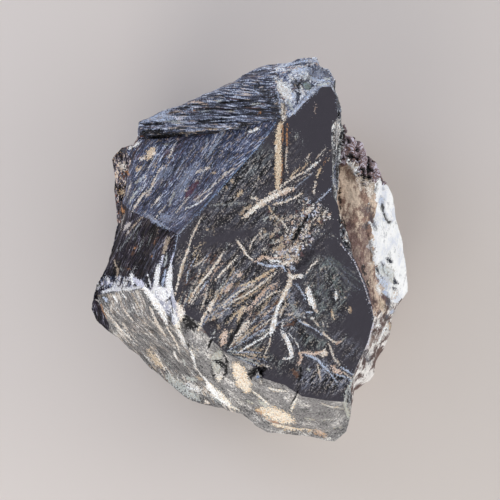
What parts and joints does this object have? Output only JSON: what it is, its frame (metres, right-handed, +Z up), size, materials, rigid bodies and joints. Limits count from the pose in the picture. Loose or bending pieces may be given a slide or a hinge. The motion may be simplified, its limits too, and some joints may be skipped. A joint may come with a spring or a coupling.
{
  "type": "hematite specimen",
  "caption": "Fist-shaped hand specimen of hematite: a smooth dark vein-laced face on top, fibrous broken flanks, pale matrix along one side, and a flat broken back to rest on.",
  "frame": {"origin": "middle of the bounding box of the stone, at the level of the flat broken face it rests on", "axes": "+Z up, out of the smooth vein-laced face; +Y along the stone's longest side, from the grey cheek towards the fibrous ledge; +X towards the pale matrix"},
  "size_m": [0.0464, 0.055, 0.0305],
  "materials": {
    "hematite": "satin"
  },
  "bodies": {
    "root": {"hematite_stone": "hematite"}
  },
  "joints": []
}
